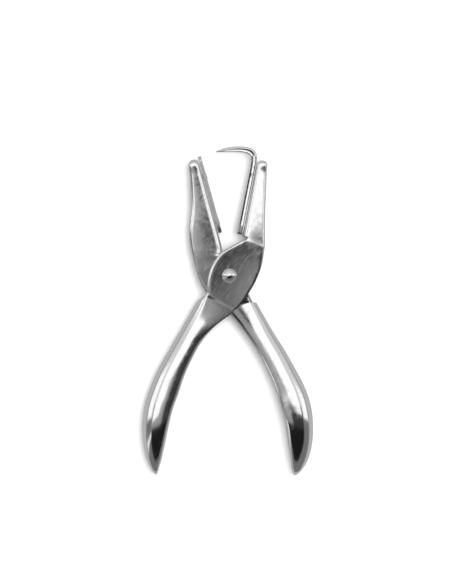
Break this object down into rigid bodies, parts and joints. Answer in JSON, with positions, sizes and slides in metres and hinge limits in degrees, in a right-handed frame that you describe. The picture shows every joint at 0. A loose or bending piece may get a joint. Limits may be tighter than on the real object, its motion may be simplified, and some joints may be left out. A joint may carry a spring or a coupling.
{
  "type": "plier staple remover",
  "caption": "Plier-type staple remover: two crossing pressed-steel levers on a rivet, sprung open, with a hooked beak on one jaw and an anvil plate on the other.",
  "frame": {"origin": "where the pivot axis meets the surface that the tool lies on", "axes": "+Z along the pivot axis, up from the surface; +Y from the pivot towards the jaws; +X towards the hooked jaw"},
  "size_m": [0.0682, 0.1315, 0.0143],
  "materials": {
    "lever_plating": "bright nickel plating over pressed steel",
    "rivet_plating": "polished plated rivet",
    "hook_plating": "bright plated sheet",
    "anvil_steel": "satin hardened steel",
    "spring_steel": "drawn wire",
    "small_rivets": "satin"
  },
  "bodies": {
    "outer": {"outer_lever": "lever_plating", "pivot_rivet": "rivet_plating", "pivot_sleeve": "spring_steel", "return_spring": "spring_steel", "hook": "hook_plating", "hook_rivet_lower": "small_rivets", "hook_rivet_upper": "small_rivets"},
    "inner": {"inner_lever": "lever_plating", "anvil_plate": "anvil_steel", "anvil_rivet_lower": "small_rivets", "anvil_rivet_upper": "small_rivets"}
  },
  "joints": [
    {"name": "pivot", "type": "hinge", "parent": "outer", "child": "inner", "pos_m": [0, 0, 0.007], "axis": [0, 0, -1], "range_deg": [0, 22], "stiffness_Nm_per_rad": 0.43, "springref_deg": -20.05, "deforming": ["return_spring"]}
  ]
}
